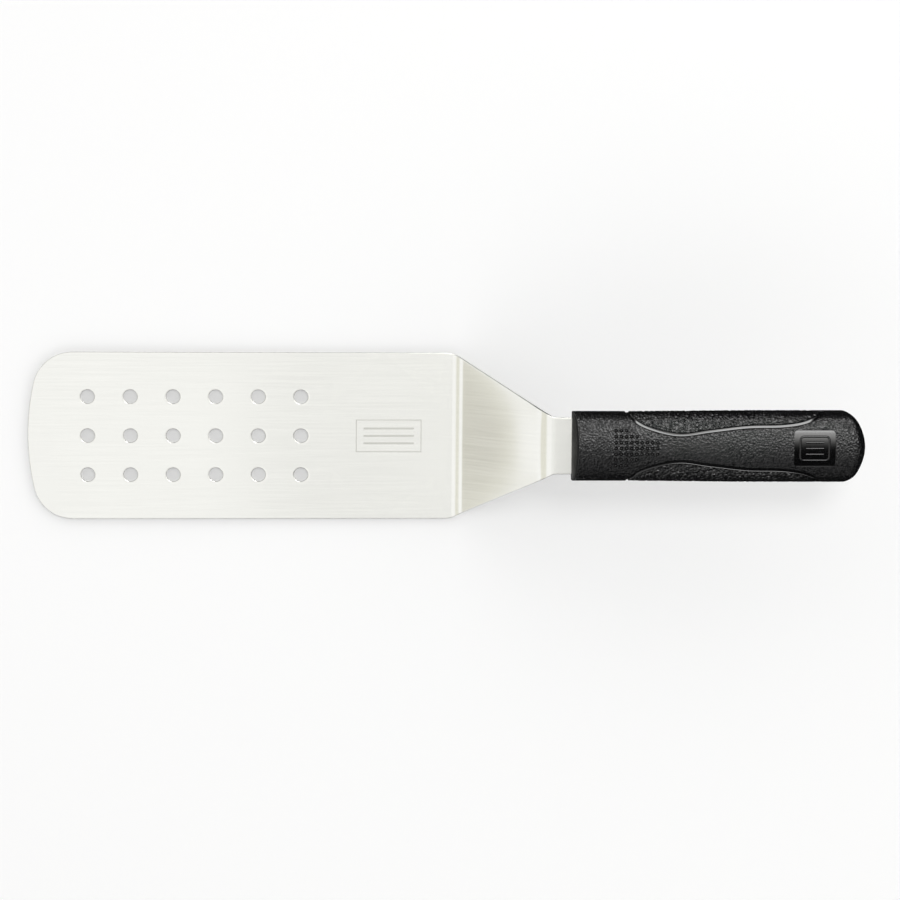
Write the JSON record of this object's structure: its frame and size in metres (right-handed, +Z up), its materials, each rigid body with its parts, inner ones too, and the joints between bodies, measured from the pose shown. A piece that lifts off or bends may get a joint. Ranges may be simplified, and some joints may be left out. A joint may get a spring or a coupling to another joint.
{
  "type": "grill spatula",
  "caption": "Offset turner: flat perforated stainless blade with rounded corners, cranked neck and a moulded black handle with side grip panels and finger points.",
  "frame": {"origin": "on the resting plane, under the middle of the whole length and width", "axes": "+X from the blade's tip towards the butt of the handle, +Y to the left when looking along +X, +Z up"},
  "size_m": [0.3752, 0.0762, 0.0467],
  "materials": {
    "blade_steel": "fine lengthwise brushed stainless steel, bright deburred rims",
    "handle_polymer": "black moulded polymer with a fine stipple; grooves and recess are smooth",
    "grip_elastomer": "black elastomer with a coarse pebbled grain"
  },
  "bodies": {
    "root": {"blade": "blade_steel", "handle_core": "handle_polymer", "left_grip": "grip_elastomer", "right_grip": "grip_elastomer"}
  },
  "joints": []
}
